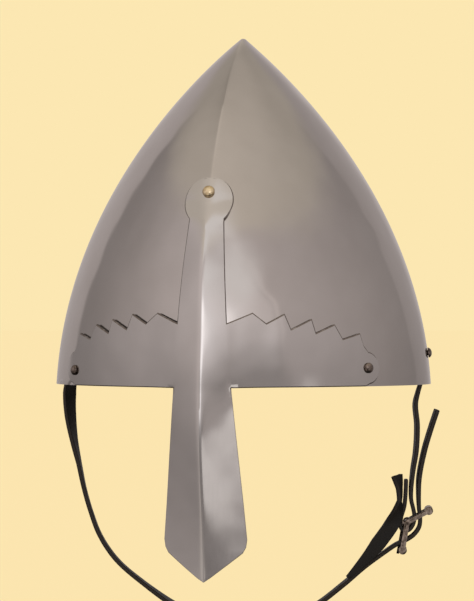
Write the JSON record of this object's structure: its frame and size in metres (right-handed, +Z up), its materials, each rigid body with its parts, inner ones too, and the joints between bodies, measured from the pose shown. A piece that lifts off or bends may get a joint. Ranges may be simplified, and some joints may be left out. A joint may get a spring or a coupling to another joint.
{
  "type": "nasal helmet with a pointed ridged skull and a chin strap",
  "caption": "Pointed steel helmet with a front-to-back ridge, a riveted saw-tooth brow and nose plate, and a buckled leather chin strap.",
  "frame": {"origin": "middle of the head opening, in the plane of the rim", "axes": "+Z up through the point of the skull, -Y to the front where the nose guard is, +X to the buckle side"},
  "size_m": [0.2109, 0.2346, 0.3264],
  "materials": {
    "skull_steel": "satin polished mild steel",
    "plate_steel": "polished mild steel",
    "brass": "polished brass",
    "dark_steel": "darkened steel",
    "leather": "black dyed strap leather",
    "old_nickel": "aged nickelled steel"
  },
  "bodies": {
    "root": {"skull": "skull_steel", "nasal_plate": "plate_steel", "rivet_crown": "brass", "rivet_arm_left": "dark_steel", "rivet_arm_right": "dark_steel", "rivet_strap_left": "dark_steel", "rivet_strap_right": "dark_steel", "chin_strap_long": "leather", "chin_strap_short": "leather", "strap_keeper": "leather", "buckle_frame": "old_nickel", "buckle_roller": "old_nickel", "buckle_tongue": "old_nickel"}
  },
  "joints": []
}
